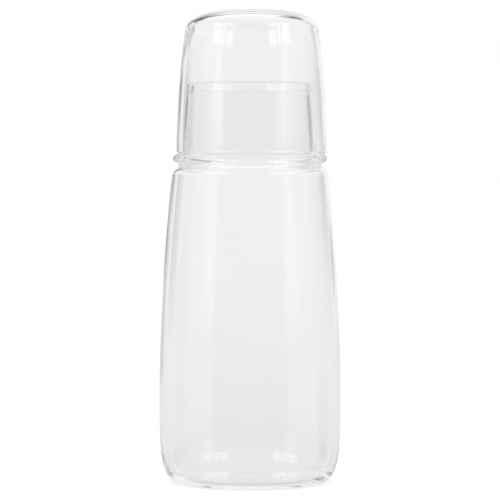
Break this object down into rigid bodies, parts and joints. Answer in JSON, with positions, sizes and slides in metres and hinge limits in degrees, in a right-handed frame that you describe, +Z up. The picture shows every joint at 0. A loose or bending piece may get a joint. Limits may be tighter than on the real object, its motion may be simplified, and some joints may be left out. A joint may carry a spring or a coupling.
{
  "type": "carafe with tumbler",
  "caption": "Clear glass bedside carafe with a raised ring at the root of its neck, covered by an upturned glass tumbler that rests on the ring and lifts off to drink from.",
  "frame": {"origin": "centre of the carafe's foot ring, on the surface it stands on", "axes": "+Z up along the carafe's axis, +X to the viewer's right in the picture, +Y away from the viewer"},
  "size_m": [0.09, 0.09, 0.2327],
  "materials": {
    "carafe_glass": "clear blown glass, smooth",
    "tumbler_glass": "clear blown glass, smooth"
  },
  "bodies": {
    "carafe": {"carafe": "carafe_glass"},
    "tumbler": {"tumbler": "tumbler_glass"}
  },
  "joints": [
    {"name": "tumbler_lift", "type": "slide", "parent": "carafe", "child": "tumbler", "axis": [0, 0, 1], "range_m": [0, 0.06]}
  ]
}
